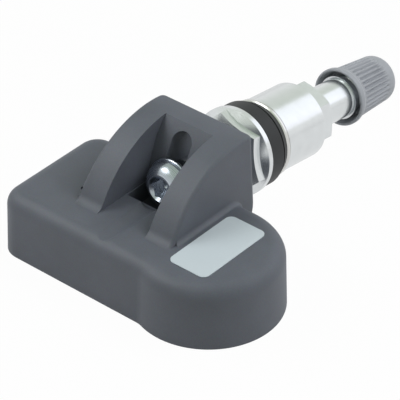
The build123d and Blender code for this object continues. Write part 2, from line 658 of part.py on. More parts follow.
# Valve stem: neck, hexagon, flange, clamping thread, stem and cap thread, bored for the core
neck_end = neck_wall_radius - NECK_GAP
neck_corner = sqrt(neck_end**2 - NECK_RADIUS**2)
neck_bulge = neck_end * sin(asin(NECK_RADIUS / neck_end) / 2)
neck_mid = sqrt(neck_end**2 - neck_bulge**2)
ring_start = GROOVE_PLACE + GROOVE_LENGTH
ring_end = ring_start + RING_LENGTH
screw_hole_end = SWIVEL_RADIUS + LOCK_WASHER_THICKNESS - SCREW_LENGTH - NECK_ROOM
hex_corner = HEX_FLATS / sqrt(3)
cone_start = FLANGE_BACK - FLANGE_CONE
core_seat = TIP_END - CORE_SEAT_DEPTH
throat_end = TIP_END - THROAT_DEPTH
with BuildPart() as valve_stem:
    with BuildSketch(VALVE_SECTION):
        with BuildLine():
            ThreePointArc((0, -neck_end), (neck_bulge, -neck_mid), (NECK_RADIUS, -neck_corner))
            Polyline(
                (NECK_RADIUS, -neck_corner),
                (NECK_RADIUS, cone_start),
                (FLANGE_CONE_RADIUS, cone_start),
                (FLANGE_RADIUS, FLANGE_BACK),
                (FLANGE_RADIUS, FLANGE_FRONT),
                (THREAD_RADIUS, FLANGE_FRONT),
                (THREAD_RADIUS, THREAD_END - STEM_STEP),
                (STEM_RADIUS, THREAD_END),
                (STEM_RADIUS, GROOVE_PLACE),
                (TIP_THREAD_RADIUS, GROOVE_PLACE),
                (TIP_THREAD_RADIUS, ring_start),
                (RING_RADIUS, ring_start),
                (RING_RADIUS, ring_end),
                (TIP_THREAD_RADIUS, ring_end),
                (TIP_THREAD_RADIUS, TIP_END - TIP_CHAMFER),
                (TIP_THREAD_RADIUS - TIP_CHAMFER, TIP_END),
                (0, TIP_END),
                (0, -neck_end),
            )
        make_face()
    revolve(axis=VALVE_AXIS)
    with BuildSketch(across_valve(HEX_INNER_END)):
        RegularPolygon(HEX_FLATS / 2, 6, major_radius=False, rotation=HEX_TURN)
    extrude(amount=FLANGE_BACK - HEX_INNER_END)
    with BuildSketch(VALVE_SECTION):
        with BuildLine():
            Polyline(
                (hex_corner - HEX_CHAMFER * sqrt(3), HEX_INNER_END),
                (hex_corner + HEX_CHAMFER, HEX_INNER_END),
                (hex_corner + HEX_CHAMFER, HEX_INNER_END + HEX_CHAMFER * (1 + 1 / sqrt(3))),
                close=True,
            )
        make_face()
    revolve(axis=VALVE_AXIS, mode=Mode.SUBTRACT)
    with BuildSketch(VALVE_SECTION):
        with BuildLine():
            Polyline(
                (0, AIR_OUTLET_PLACE - AIR_BORE),
                (AIR_BORE, AIR_OUTLET_PLACE - AIR_BORE),
                (AIR_BORE, throat_end),
                (THROAT_BORE, throat_end),
                (THROAT_BORE, core_seat),
                (CORE_BORE, core_seat),
                (CORE_BORE, TIP_END),
                (0, TIP_END),
                close=True,
            )
        make_face()
    revolve(axis=VALVE_AXIS, mode=Mode.SUBTRACT)
    with BuildSketch(Plane(origin=HINGE + VALVE * AIR_OUTLET_PLACE, x_dir=VALVE, z_dir=(1, 0, 0))):
        Circle(AIR_OUTLET_RADIUS)
    extrude(amount=HEX_FLATS, both=True, mode=Mode.SUBTRACT)
    with BuildSketch(across_valve(-neck_wall_radius)):
        Circle(SCREW_RADIUS + RUNNING_FIT)
    extrude(amount=neck_wall_radius - screw_hole_end, mode=Mode.SUBTRACT)
valve_stem.part.label = "valve_stem"
export_step(valve_stem.part, "parts/valve_stem.step")

# Rubber grommet: a wide band and a lip, with a spigot for the wheel's hole
band_end = FLANGE_FRONT + GROMMET_BAND
lip_start = band_end + GROMMET_GROOVE
grommet_front = lip_start + LIP_LENGTH
grommet_bore = THREAD_RADIUS + SEAT_GAP
with BuildPart() as rim_grommet:
    with BuildSketch(VALVE_SECTION):
        with BuildLine():
            Polyline(
                (grommet_bore, FLANGE_FRONT),
                (GROMMET_RADIUS - GROMMET_EDGE, FLANGE_FRONT),
                (GROMMET_RADIUS, FLANGE_FRONT + GROMMET_EDGE),
                (GROMMET_RADIUS, band_end),
                (LIP_RADIUS - GROMMET_GROOVE, band_end),
                (LIP_RADIUS - GROMMET_GROOVE, lip_start),
                (LIP_RADIUS, lip_start),
                (LIP_FRONT_RADIUS, grommet_front),
                (SPIGOT_RADIUS, grommet_front),
                (SPIGOT_RADIUS, grommet_front + SPIGOT_LENGTH),
                (grommet_bore, grommet_front + SPIGOT_LENGTH),
                close=True,
            )
        make_face()
    revolve(axis=VALVE_AXIS)
rim_grommet.part.label = "rim_grommet"
export_step(rim_grommet.part, "parts/rim_grommet.step")

# Thrust washer, captive under the nut
washer_back = grommet_front + SEAT_GAP
washer_front = washer_back + WASHER_THICKNESS
with BuildPart() as thrust_washer:
    with BuildSketch(VALVE_SECTION):
        with BuildLine():
            Polyline(
                (SPIGOT_RADIUS + SPIGOT_ROOM, washer_back),
                (WASHER_RADIUS - WASHER_EDGE, washer_back),
                (WASHER_RADIUS, washer_back + WASHER_EDGE),
                (WASHER_RADIUS, washer_front - WASHER_EDGE),
                (WASHER_RADIUS - WASHER_EDGE, washer_front),
                (SPIGOT_RADIUS + SPIGOT_ROOM, washer_front),
                close=True,
            )
        make_face()
    revolve(axis=VALVE_AXIS)
thrust_washer.part.label = "thrust_washer"
export_step(thrust_washer.part, "parts/thrust_washer.step")

# Union nut: collar, round body, shoulder and hexagon
nut_start = washer_front + SEAT_GAP
nut_shoulder = nut_start + NUT_BODY
nut_hex_start = nut_shoulder + NUT_SHOULDER
nut_end = nut_hex_start + NUT_HEX
nut_corner = NUT_HEX_FLATS / sqrt(3)
nut_bore = THREAD_RADIUS + RUNNING_FIT
with BuildPart() as union_nut:
    with BuildSketch(VALVE_SECTION):
        with BuildLine():
            Polyline(
                (0, nut_start),
                (NUT_RADIUS + NUT_COLLAR_STEP, nut_start),
                (NUT_RADIUS + NUT_COLLAR_STEP, nut_start + NUT_COLLAR),
                (NUT_RADIUS, nut_start + NUT_COLLAR + NUT_COLLAR_STEP),
                (NUT_RADIUS, nut_shoulder),
                (NUT_HEX_FLATS / 2, nut_hex_start),
                (0, nut_hex_start),
                close=True,
            )
        make_face()
    revolve(axis=VALVE_AXIS)
    with BuildSketch(across_valve(nut_shoulder)):
        RegularPolygon(NUT_HEX_FLATS / 2, 6, major_radius=False, rotation=NUT_HEX_TURN)
    extrude(amount=nut_end - nut_shoulder)
    with BuildSketch(VALVE_SECTION):
        with BuildLine():
            Polyline(
                (nut_corner - NUT_CHAMFER * sqrt(3), nut_end),
                (nut_corner + NUT_CHAMFER, nut_end),
                (nut_corner + NUT_CHAMFER, nut_end - NUT_CHAMFER * (1 + 1 / sqrt(3))),
                close=True,
            )
        make_face()
    revolve(axis=VALVE_AXIS, mode=Mode.SUBTRACT)
    with BuildSketch(VALVE_SECTION):
        with BuildLine():
            Polyline(
                (0, nut_start),
                (SPIGOT_RADIUS + NUT_RECESS_ROOM, nut_start),
                (SPIGOT_RADIUS + NUT_RECESS_ROOM, nut_start + NUT_RECESS),
                (nut_bore, nut_start + NUT_RECESS),
                (nut_bore, nut_end),
                (0, nut_end),
                close=True,
            )
        make_face()
    revolve(axis=VALVE_AXIS, mode=Mode.SUBTRACT)
union_nut.part.label = "union_nut"
export_step(union_nut.part, "parts/union_nut.step")

# Valve cap: a flared open mouth, a ribbed taper and a domed end
cap_start = TIP_END - CAP_DEPTH
cap_end = cap_start + CAP_LENGTH
skirt_end = cap_start + CAP_SKIRT_LENGTH
dome_start = cap_end - CAP_DOME
gasket_start = TIP_END + SEAT_GAP
cap_inner_end = gasket_start + GASKET_THICKNESS + SEAT_GAP
cap_bore = TIP_THREAD_RADIUS + RUNNING_FIT
rib_start = cap_start + CAP_GROOVE_START
rib_end = cap_start + CAP_GROOVE_END
cap_slope = (CAP_ROOT_RADIUS - CAP_TOP_RADIUS) / (dome_start - skirt_end)


def cap_radius(place):
    """Radius of the cap's taper at a place along the valve."""
    return CAP_ROOT_RADIUS - cap_slope * (place - skirt_end)


rib_from = HINGE + VALVE * rib_start + Vector(cap_radius(rib_start), 0, 0)
rib_to = HINGE + VALVE * rib_end + Vector(cap_radius(rib_end), 0, 0)
with BuildPart() as cap_groove:
    with BuildSketch(Plane(origin=rib_from, z_dir=rib_to - rib_from)):
        Circle(CAP_GROOVE_RADIUS)
    extrude(amount=(rib_to - rib_from).length)

with BuildPart() as valve_cap:
    with BuildSketch(VALVE_SECTION):
        with BuildLine():
            Polyline(
                (0, cap_start),
                (CAP_SKIRT_RADIUS - CAP_LIP_EDGE, cap_start),
                (CAP_SKIRT_RADIUS, cap_start + CAP_LIP_EDGE),
                (CAP_SKIRT_RADIUS, cap_start + CAP_LIP_LENGTH),
                (CAP_ROOT_RADIUS, skirt_end),
                (CAP_TOP_RADIUS, dome_start),
            )
            ThreePointArc(
                (CAP_TOP_RADIUS, dome_start),
                (CAP_TOP_RADIUS - CAP_DOME * (1 - cos(pi / 4)), dome_start + CAP_DOME * sin(pi / 4)),
                (CAP_TOP_RADIUS - CAP_DOME, cap_end),
            )
            Polyline((CAP_TOP_RADIUS - CAP_DOME, cap_end), (0, cap_end), (0, cap_start))
        make_face()
    revolve(axis=VALVE_AXIS)
    add(
        [cap_groove.part.rotate(VALVE_AXIS, 360 / CAP_RIBS * rib) for rib in range(CAP_RIBS)],
        mode=Mode.SUBTRACT,
    )
    with BuildSketch(VALVE_SECTION):
        with BuildLine():
            Polyline(
                (0, cap_start),
                (CAP_MOUTH_RADIUS, cap_start),
                (CAP_THROAT_RADIUS, cap_start + CAP_MOUTH_DEPTH),
                (cap_bore, cap_start + CAP_MOUTH_DEPTH),
                (cap_bore, cap_inner_end),
                (0, cap_inner_end),
                close=True,
            )
        make_face()
    revolve(axis=VALVE_AXIS, mode=Mode.SUBTRACT)
valve_cap.part.label = "valve_cap"
export_step(valve_cap.part, "parts/valve_cap.step")

# Gasket in the cap
with BuildPart() as cap_gasket:
    with BuildSketch(across_valve(gasket_start)):
        Circle(cap_bore - GASKET_ROOM)
        Circle(GASKET_BORE, mode=Mode.SUBTRACT)
    extrude(amount=GASKET_THICKNESS)
cap_gasket.part.label = "cap_gasket"
export_step(cap_gasket.part, "parts/cap_gasket.step")

# Valve core barrel: screw plug and sleeve
plug_end = TIP_END - PLUG_TOP_DEPTH
plug_start = plug_end - PLUG_LENGTH
sleeve_start = plug_start - SLEEVE_LENGTH
spring_start = plug_start + SPRING_SEAT
pin_bore = PIN_RADIUS + PIN_ROOM
with BuildPart() as core_barrel:
    with BuildSketch(VALVE_SECTION):
        with BuildLine():
            Polyline(
                (pin_bore, sleeve_start),
                (SLEEVE_RADIUS, sleeve_start),
                (SLEEVE_RADIUS, plug_start),
                (PLUG_RADIUS, plug_start),
                (PLUG_RADIUS, plug_end),
                (SPRING_ROOM, plug_end),
                (SPRING_ROOM, spring_start),
                (pin_bore, spring_start),
                close=True,
            )
        make_face()
    revolve(axis=VALVE_AXIS)
core_barrel.part.label = "core_barrel"
export_step(core_barrel.part, "parts/core_barrel.step")

# Seal ring between the core's plug and its seat in the stem
with BuildPart() as core_seal:
    with BuildSketch(across_valve(core_seat)):
        Circle(PLUG_RADIUS)
        Circle(SLEEVE_RADIUS + SEAT_GAP, mode=Mode.SUBTRACT)
    extrude(amount=CORE_SEAL_HEIGHT)
core_seal.part.label = "core_seal"
export_step(core_seal.part, "parts/core_seal.step")

# Core pin with the collar that the spring pushes
pin_end = plug_end + PIN_PROUD
collar_end = plug_end - SEAT_GAP
collar_start = collar_end - PIN_COLLAR
cup_top = sleeve_start - SEAT_GAP
cup_bottom = cup_top - CUP_HEIGHT
with BuildPart() as core_pin:
    with BuildSketch(VALVE_SECTION):
        with BuildLine():
            Polyline(
                (0, cup_bottom - PIN_TAIL),
                (PIN_RADIUS, cup_bottom - PIN_TAIL),
                (PIN_RADIUS, collar_start),
                (PIN_COLLAR_RADIUS, collar_start),
                (PIN_COLLAR_RADIUS, collar_end),
                (PIN_RADIUS, collar_end),
                (PIN_RADIUS, pin_end),
                (0, pin_end),
                close=True,
            )
        make_face()
    revolve(axis=VALVE_AXIS)
core_pin.part.label = "core_pin"
export_step(core_pin.part, "parts/core_pin.step")

# Rubber-faced cup that closes the core
with BuildPart() as core_cup:
    with BuildSketch(VALVE_SECTION):
        with BuildLine():
            Polyline(
                (PIN_RADIUS, cup_bottom),
                (CUP_RADIUS - CUP_EDGE, cup_bottom),
                (CUP_RADIUS, cup_bottom + CUP_EDGE),
                (CUP_RADIUS, cup_top),
                (PIN_RADIUS, cup_top),
                close=True,
            )
        make_face()
    revolve(axis=VALVE_AXIS)
core_cup.part.label = "core_cup"
export_step(core_cup.part, "parts/core_cup.step")

# Core spring, between the plug's floor and the pin's collar
spring_from = spring_start + SPRING_WIRE + SEAT_GAP
spring_to = collar_start - SPRING_WIRE - SEAT_GAP
spring_length = spring_to - spring_from
with BuildPart() as core_spring:
    with BuildLine() as coil_path:
        Helix(
            pitch=spring_length / SPRING_TURNS,
            height=spring_length,
            radius=SPRING_MEAN,
            center=HINGE + VALVE * spring_from,
            direction=VALVE,
        )
    with BuildSketch(Plane(origin=coil_path.line @ 0, z_dir=coil_path.line % 0)):
        Circle(SPRING_WIRE)
    sweep(is_frenet=True)
core_spring.part.label = "core_spring"
export_step(core_spring.part, "parts/core_spring.step")

# Lock washer under the screw's head
with BuildPart() as lock_washer:
    with BuildSketch(across_valve(washer_outer_place)):
        Circle(LOCK_WASHER_RADIUS)
        Circle(SCREW_RADIUS + RUNNING_FIT, mode=Mode.SUBTRACT)
    extrude(amount=LOCK_WASHER_THICKNESS)
    rims = lock_washer.edges().filter_by(GeomType.CIRCLE)
    chamfer(rims.filter_by(lambda edge: edge.radius > SCREW_RADIUS * 2), LOCK_WASHER_EDGE)
lock_washer.part.label = "lock_washer"
export_step(lock_washer.part, "parts/lock_washer.step")

# Clamp screw: domed head with a hexagon socket
head_back = washer_outer_place - SEAT_GAP
head_front = head_back - HEAD_HEIGHT
socket_mouth = SOCKET_FLATS / sqrt(3) + SOCKET_LEAD
with BuildPart() as clamp_screw:
    with BuildSketch(VALVE_SECTION):
        with BuildLine():
            Polyline((0, head_front), (HEAD_LAND, head_front))
            RadiusArc((HEAD_LAND, head_front), (HEAD_RADIUS, head_back - HEAD_RIM), -HEAD_DOME)
            Polyline(
                (HEAD_RADIUS, head_back - HEAD_RIM),
                (HEAD_RADIUS, head_back),
                (SCREW_RADIUS, head_back),
                (SCREW_RADIUS, head_back + SCREW_LENGTH),
                (0, head_back + SCREW_LENGTH),
                (0, head_front),
            )
        make_face()
    revolve(axis=VALVE_AXIS)
    with BuildSketch(across_valve(head_front)):
        RegularPolygon(SOCKET_FLATS / 2, 6, major_radius=False)
    extrude(amount=SOCKET_DEPTH, mode=Mode.SUBTRACT)
    with BuildSketch(VALVE_SECTION):
        with BuildLine():
            Polyline((0, head_front), (socket_mouth, head_front), (0, head_front + socket_mouth), close=True)
        make_face()
    revolve(axis=VALVE_AXIS, mode=Mode.SUBTRACT)
clamp_screw.part.label = "clamp_screw"
export_step(clamp_screw.part, "parts/clamp_screw.step")
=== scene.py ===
# %% [markdown]
# # A tyre pressure sensor on its valve
# The object is a small grey moulding, about as long as a thumb, bolted to the aluminium valve that
# goes through a car's wheel. We load its exact solids first, and then give each piece the finish
# that the real one has. The cap and the stem are drawn again with more detail, and the spring is
# copied to a mesh of its own. Everything is in metres, and the solids are never moved.

# %% Load the solids
import json
import math

import bmesh
import bpy
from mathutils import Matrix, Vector


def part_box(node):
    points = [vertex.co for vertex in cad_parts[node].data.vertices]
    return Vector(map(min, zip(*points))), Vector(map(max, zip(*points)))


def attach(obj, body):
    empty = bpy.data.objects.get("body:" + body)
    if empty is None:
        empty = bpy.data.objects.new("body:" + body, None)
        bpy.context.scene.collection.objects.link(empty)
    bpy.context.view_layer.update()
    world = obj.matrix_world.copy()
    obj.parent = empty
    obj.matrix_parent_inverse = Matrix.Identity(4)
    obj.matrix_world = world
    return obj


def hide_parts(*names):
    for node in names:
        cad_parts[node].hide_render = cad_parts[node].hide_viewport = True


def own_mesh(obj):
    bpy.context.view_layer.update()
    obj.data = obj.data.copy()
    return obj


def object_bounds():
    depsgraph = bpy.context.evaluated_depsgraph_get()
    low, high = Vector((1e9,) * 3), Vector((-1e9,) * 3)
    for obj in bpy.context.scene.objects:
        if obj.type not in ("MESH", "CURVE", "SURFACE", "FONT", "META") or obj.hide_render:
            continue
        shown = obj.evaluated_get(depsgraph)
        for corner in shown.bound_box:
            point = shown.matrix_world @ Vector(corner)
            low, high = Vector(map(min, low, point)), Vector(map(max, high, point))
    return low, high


MM = 0.001
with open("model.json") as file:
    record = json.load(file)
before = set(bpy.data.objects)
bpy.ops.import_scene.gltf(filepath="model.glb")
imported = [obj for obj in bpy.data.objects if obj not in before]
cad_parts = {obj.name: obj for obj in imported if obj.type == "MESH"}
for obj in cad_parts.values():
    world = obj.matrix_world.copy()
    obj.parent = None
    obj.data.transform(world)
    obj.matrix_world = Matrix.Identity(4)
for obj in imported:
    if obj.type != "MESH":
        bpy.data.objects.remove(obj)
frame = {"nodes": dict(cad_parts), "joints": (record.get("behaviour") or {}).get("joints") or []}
nodes = frame["nodes"]
cad_low, cad_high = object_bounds()
cad_size = [round((high - low) / MM, 1) for low, high in zip(cad_low, cad_high)]
print("pieces:", len(nodes), "box in mm:", cad_size)

# %% [markdown]
# ## Helpers for finishes
# Colours are written the way a picture editor shows them, as sRGB hex, and Blender works in linear
# light, so one function turns one into the other. A second one adds a shader node, sets its options
# and plugs in its links, which keeps each material short enough to read. The others start a material,
# plug nodes into its main shader and put it on the pieces that have it.


# %% Helpers for colour and shader nodes
def linear(hex_colour):
    """sRGB hex such as #65696b as a linear RGBA colour, by the curve of the sRGB standard."""
    channels = [int(hex_colour[i : i + 2], 16) / 255 for i in (1, 3, 5)]
    return [c / 12.92 if c <= 0.04045 else ((c + 0.055) / 1.055) ** 2.4 for c in channels] + [1.0]


def add_node(owner, kind, values=None, links=None, **options):
    """Adds one shader node with its options, socket values and links."""
    node = owner.node_tree.nodes.new(kind)
    for name, option in options.items():
        setattr(node, name, option)
    for name, value in (values or {}).items():
        node.inputs[name].default_value = value
    for name, source in (links or {}).items():
        owner.node_tree.links.new(source, node.inputs[name])
    return node


def socket_name(word):
    """The shader's name for a socket, such as Base Color for base_color."""
    return word.upper() if word == "ior" else word.replace("_", " ").title()


def new_surface(name, **values):
    """A new material and its main shader, with plain values on the shader's own sockets."""
    material = bpy.data.materials.new(name)
    material.use_nodes = True
    shader = material.node_tree.nodes["Principled BSDF"]
    for word, value in values.items():
        shader.inputs[socket_name(word)].default_value = value
    return material, shader


def plug(material, shader, **sources):
    """Plugs node outputs into the main shader's sockets."""
    for word, source in sources.items():
        material.node_tree.links.new(source, shader.inputs[socket_name(word)])


# %% A helper that puts a finish on pieces
finished = set()


def wear(material, *names):
    """Gives the named pieces this finish."""
    for name in names:
        mesh = nodes[name].data
        mesh.materials.clear()
        mesh.materials.append(material)
    finished.update(names)
    print(material.name, "on", ", ".join(names))


# %% [markdown]
# ## Glass-filled nylon for the housing
# Sensor housings are moulded from nylon with glass fibre in it, which stands the heat of a brake.
# The mould's steel is spark-eroded, so the skin has a fine pebble grain that kills sharp reflections.
# A picture of the skin could be wrapped round the piece, but a noise in space has no seams and needs
# no unwrapping. The grain is about a quarter of a millimetre. A larger, weak noise shifts the grey a
# little, as the fibre does where the plastic flowed.

# %% Moulded glass-filled nylon
GRAIN_MM = 0.25
GRAIN_DEPTH_MM = 0.02
FLOW_MM = 6.0
moulded_nylon, shader = new_surface("moulded_nylon", ior=1.53)
place = add_node(moulded_nylon, "ShaderNodeTexCoord").outputs["Object"]
flow = add_node(
    moulded_nylon,
    "ShaderNodeTexNoise",
    {"Scale": 1 / (FLOW_MM * MM), "Detail": 3.0},
    {"Vector": place},
)
grain = add_node(
    moulded_nylon,
    "ShaderNodeTexNoise",
    {"Scale": 1 / (GRAIN_MM * MM), "Detail": 2.0},
    {"Vector": place},
)
flow_grey = add_node(
    moulded_nylon,
    "ShaderNodeMix",
    {"A": linear("#4d5159"), "B": linear("#5a5e68")},
    {"Factor": flow.outputs["Fac"]},
    data_type="RGBA",
)
speckle = add_node(
    moulded_nylon,
    "ShaderNodeMix",
    {"Factor": 0.3},
    {"A": flow_grey.outputs["Result"], "B": grain.outputs["Color"]},
    data_type="RGBA",
    blend_type="SOFT_LIGHT",
)
matt = add_node(
    moulded_nylon,
    "ShaderNodeMapRange",
    {"To Min": 0.5, "To Max": 0.62},
    {"Value": grain.outputs["Fac"]},
)
pebble = add_node(
    moulded_nylon,
    "ShaderNodeBump",
    {"Strength": 0.5, "Distance": GRAIN_DEPTH_MM * MM},
    {"Height": grain.outputs["Fac"]},
)
plug(
    moulded_nylon,
    shader,
    base_color=speckle.outputs["Result"],
    roughness=matt.outputs["Result"],
    normal=pebble.outputs["Normal"],
)
wear(moulded_nylon, "housing", "base_cover")

# %% [markdown]
# ## Label film
# The sticker on the round end is a pale polyester film with a matte coat. A flat colour would look
# like paper, so two close tones are mixed by the coat's grain. That grain is finer than a pixel, so it
# is drawn at half a millimetre.

# %% Matte polyester film
FILM_MM = 0.5
matte_film, shader = new_surface("matte_polyester_film", roughness=0.45, ior=1.57)
place = add_node(matte_film, "ShaderNodeTexCoord").outputs["Object"]
coat = add_node(
    matte_film,
    "ShaderNodeTexNoise",
    {"Scale": 1 / (FILM_MM * MM), "Detail": 2.0},
    {"Vector": place},
)
pale = add_node(
    matte_film,
    "ShaderNodeMix",
    {"A": linear("#bdc7ce"), "B": linear("#c1cbd2")},
    {"Factor": coat.outputs["Fac"]},
    data_type="RGBA",
)
plug(matte_film, shader, base_color=pale.outputs["Result"])
wear(matte_film, "label")

# %% [markdown]
# ## The valve's own axis
# The valve droops a few degrees from the housing's back, so turned marks can't use the world's axes.
# The record keeps the line that the nut travels along. A point's place along that line is a dot
# product, and its distance from the line is the length of a cross product. A lathe's tool moves along
# the first on a round side and along the second on a flat end.

# %% Find the valve's axis
joints = {joint["name"]: joint for joint in frame["joints"]}
valve_out = Vector(joints["nut_travel"]["axis"]).normalized()
valve_root = Vector(joints["valve_tilt"]["pos_m"])
valve_side = valve_out.cross(Vector((0, 0, 1))).normalized()
valve_up = valve_side.cross(valve_out)
print("valve droops", round(math.degrees(math.asin(-valve_out.z)), 1), "degrees")

# %% [markdown]
# ## Turned metals
# The stem and the nut are turned from aluminium bar and then clear-anodised, which leaves a satin
# silver. The tool leaves rings a fraction of a millimetre apart, so a noise runs along the tool's way
# and doesn't change round the axis. It moves the roughness and the bump a little. A second, soft noise
# clouds the tone, as handling does.

# %% A recipe for turned metal
CLOUD_RINGS = 8
CLOUD_SHADE = 0.9


def turned_metal(name, hex_colour, roughness, spread, ring_mm, ring_depth_mm):
    """A metal with fine lathe rings round the valve's axis."""
    material, shader = new_surface(name, metallic=1.0)
    place = add_node(material, "ShaderNodeTexCoord").outputs["Object"]
    arm = add_node(
        material,
        "ShaderNodeVectorMath",
        {1: valve_root},
        {0: place},
        operation="SUBTRACT",
    ).outputs["Vector"]
    along = add_node(
        material,
        "ShaderNodeVectorMath",
        {1: valve_out},
        {0: arm},
        operation="DOT_PRODUCT",
    )
    across = add_node(
        material,
        "ShaderNodeVectorMath",
        {1: valve_out},
        {0: arm},
        operation="CROSS_PRODUCT",
    )
    radius = add_node(
        material,
        "ShaderNodeVectorMath",
        links={0: across.outputs["Vector"]},
        operation="LENGTH",
    )
    tool_way = add_node(
        material,
        "ShaderNodeMath",
        links={0: along.outputs["Value"], 1: radius.outputs["Value"]},
        operation="ADD",
    )
    rings = add_node(
        material,
        "ShaderNodeTexNoise",
        {"Scale": 1 / (ring_mm * MM), "Detail": 2.0},
        {"W": tool_way.outputs["Value"]},
        noise_dimensions="1D",
    )
    cloud = add_node(
        material,
        "ShaderNodeTexNoise",
        {"Scale": 1 / (CLOUD_RINGS * ring_mm * MM), "Detail": 2.0},
        {"Vector": place},
    )
    bright = linear(hex_colour)
    tone = add_node(
        material,
        "ShaderNodeMix",
        {"A": bright, "B": [CLOUD_SHADE * channel for channel in bright[:3]] + [1.0]},
        {"Factor": cloud.outputs["Fac"]},
        data_type="RGBA",
    )
    satin = add_node(
        material,
        "ShaderNodeMapRange",
        {"To Min": roughness - spread, "To Max": roughness + spread},
        {"Value": rings.outputs["Fac"]},
    )
    relief = add_node(
        material,
        "ShaderNodeBump",
        {"Strength": 0.3, "Distance": ring_depth_mm * MM},
        {"Height": rings.outputs["Fac"]},
    )
    plug(
        material,
        shader,
        base_color=tone.outputs["Result"],
        roughness=satin.outputs["Result"],
        normal=relief.outputs["Normal"],
    )
    return material


# %% [markdown]
# ## The metals of the valve
# One recipe serves them all, because all are turned or drawn round the same line. Only the colour, the
# polish and the tool's step differ: satin aluminium for the stem and nut, bright steel for the washer
# under the nut, zinc plate for the screw, spring steel and brass for the valve's core.

# %% Turned and plated pieces
anodised_aluminium = turned_metal(
    "anodised_aluminium", "#e2e5e7", roughness=0.24, spread=0.05, ring_mm=0.25, ring_depth_mm=0.004
)
wear(anodised_aluminium, "valve_stem", "union_nut")
bright_steel = turned_metal(
    "bright_steel", "#d8d8d6", roughness=0.22, spread=0.05, ring_mm=0.2, ring_depth_mm=0.003
)
wear(bright_steel, "thrust_washer")
zinc_plate = turned_metal(
    "zinc_plated_steel", "#bac0cb", roughness=0.27, spread=0.05, ring_mm=0.3, ring_depth_mm=0.006
)
wear(zinc_plate, "clamp_screw", "lock_washer")
spring_wire = turned_metal(
    "drawn_spring_steel", "#a9a8a4", roughness=0.3, spread=0.05, ring_mm=0.1, ring_depth_mm=0.002
)
wear(spring_wire, "core_spring")
valve_brass = turned_metal(
    "valve_brass", "#c8a35c", roughness=0.32, spread=0.06, ring_mm=0.2, ring_depth_mm=0.004
)
wear(valve_brass, "core_barrel", "core_pin")

# %% [markdown]
# ## Rubber
# The grommet and the small seals are black EPDM, moulded in smooth steel. The skin is dull, a little
# dusty with talc from the mould, and has the faintest mottle. One noise drives the tone, the gloss and
# the bump together, since talc that lightens the rubber also dulls it.

# %% Moulded EPDM rubber
MOTTLE_MM = 0.5
MOTTLE_DEPTH_MM = 0.02
seal_rubber, shader = new_surface("moulded_epdm", ior=1.52)
place = add_node(seal_rubber, "ShaderNodeTexCoord").outputs["Object"]
mottle = add_node(
    seal_rubber,
    "ShaderNodeTexNoise",
    {"Scale": 1 / (MOTTLE_MM * MM), "Detail": 3.0},
    {"Vector": place},
)
soot = add_node(
    seal_rubber,
    "ShaderNodeMix",
    {"A": linear("#141518"), "B": linear("#1e2023")},
    {"Factor": mottle.outputs["Fac"]},
    data_type="RGBA",
)
dull = add_node(
    seal_rubber,
    "ShaderNodeMapRange",
    {"To Min": 0.46, "To Max": 0.6},
    {"Value": mottle.outputs["Fac"]},
)
skin = add_node(
    seal_rubber,
    "ShaderNodeBump",
    {"Strength": 0.2, "Distance": MOTTLE_DEPTH_MM * MM},
    {"Height": mottle.outputs["Fac"]},
)
plug(
    seal_rubber,
    shader,
    base_color=soot.outputs["Result"],
    roughness=dull.outputs["Result"],
    normal=skin.outputs["Normal"],
)
wear(seal_rubber, "rim_grommet", "port_seal", "cap_gasket", "core_cup")

# %% [markdown]
# ## Cap plastic
# The cap is a lighter grey nylon than the housing, and smoother, because its mould is polished. It has
# a soft highlight and only a trace of flow in its colour, so its noise and its bump are weaker than the
# housing's.

# %% Moulded cap nylon
CAP_FLOW_MM = 2.0
CAP_GRAIN_MM = 0.3
CAP_GRAIN_DEPTH_MM = 0.01
cap_nylon, shader = new_surface("cap_nylon", roughness=0.42, ior=1.53)
place = add_node(cap_nylon, "ShaderNodeTexCoord").outputs["Object"]
cap_flow = add_node(
    cap_nylon,
    "ShaderNodeTexNoise",
    {"Scale": 1 / (CAP_FLOW_MM * MM), "Detail": 2.0},
    {"Vector": place},
)
silver_grey = add_node(
    cap_nylon,
    "ShaderNodeMix",
    {"A": linear("#95989f"), "B": linear("#a0a3ab")},
    {"Factor": cap_flow.outputs["Fac"]},
    data_type="RGBA",
)
cap_grain = add_node(
    cap_nylon,
    "ShaderNodeTexNoise",
    {"Scale": 1 / (CAP_GRAIN_MM * MM), "Detail": 2.0},
    {"Vector": place},
)
cap_skin = add_node(
    cap_nylon,
    "ShaderNodeBump",
    {"Strength": 0.15, "Distance": CAP_GRAIN_DEPTH_MM * MM},
    {"Height": cap_grain.outputs["Fac"]},
)
plug(cap_nylon, shader, base_color=silver_grey.outputs["Result"], normal=cap_skin.outputs["Normal"])
wear(cap_nylon, "valve_cap")

# %% [markdown]
# ## Helpers for pieces round the valve
# The cap and the stem's threads are drawn as rings of points round the valve's axis. A point there is
# given by its place along the axis, its radius and its angle, as on a lathe. Strips of faces join one
# ring to the next, and faces that meet at a shallow angle are shaded as one smooth skin.


# %% Helpers for rings and new pieces
def along_valve(point):
    """How far a point lies along the valve's axis, in metres from the swivel line."""
    return (point - valve_root).dot(valve_out)


def valve_point(place, radius, angle):
    """A point by its place along the valve and its radius, in millimetres, and its angle round it."""
    spoke = valve_side * math.cos(angle) + valve_up * math.sin(angle)
    return valve_root + (valve_out * place + spoke * radius) * MM


def smooth(value):
    """Goes gently from 0 to 1."""
    value = min(max(value, 0.0), 1.0)
    return value * value * (3 - 2 * value)


def join_rings(shape, rings):
    """Fills the strips between rings that have the same number of points."""
    for low, high in zip(rings, rings[1:]):
        for step in range(len(low)):
            shape.faces.new((low[step - 1], low[step], high[step], high[step - 1]))


def add_object(name, data):
    """Puts a mesh, a lamp or a camera into the scene."""
    made = bpy.data.objects.new(name, data)
    bpy.context.scene.collection.objects.link(made)
    return made


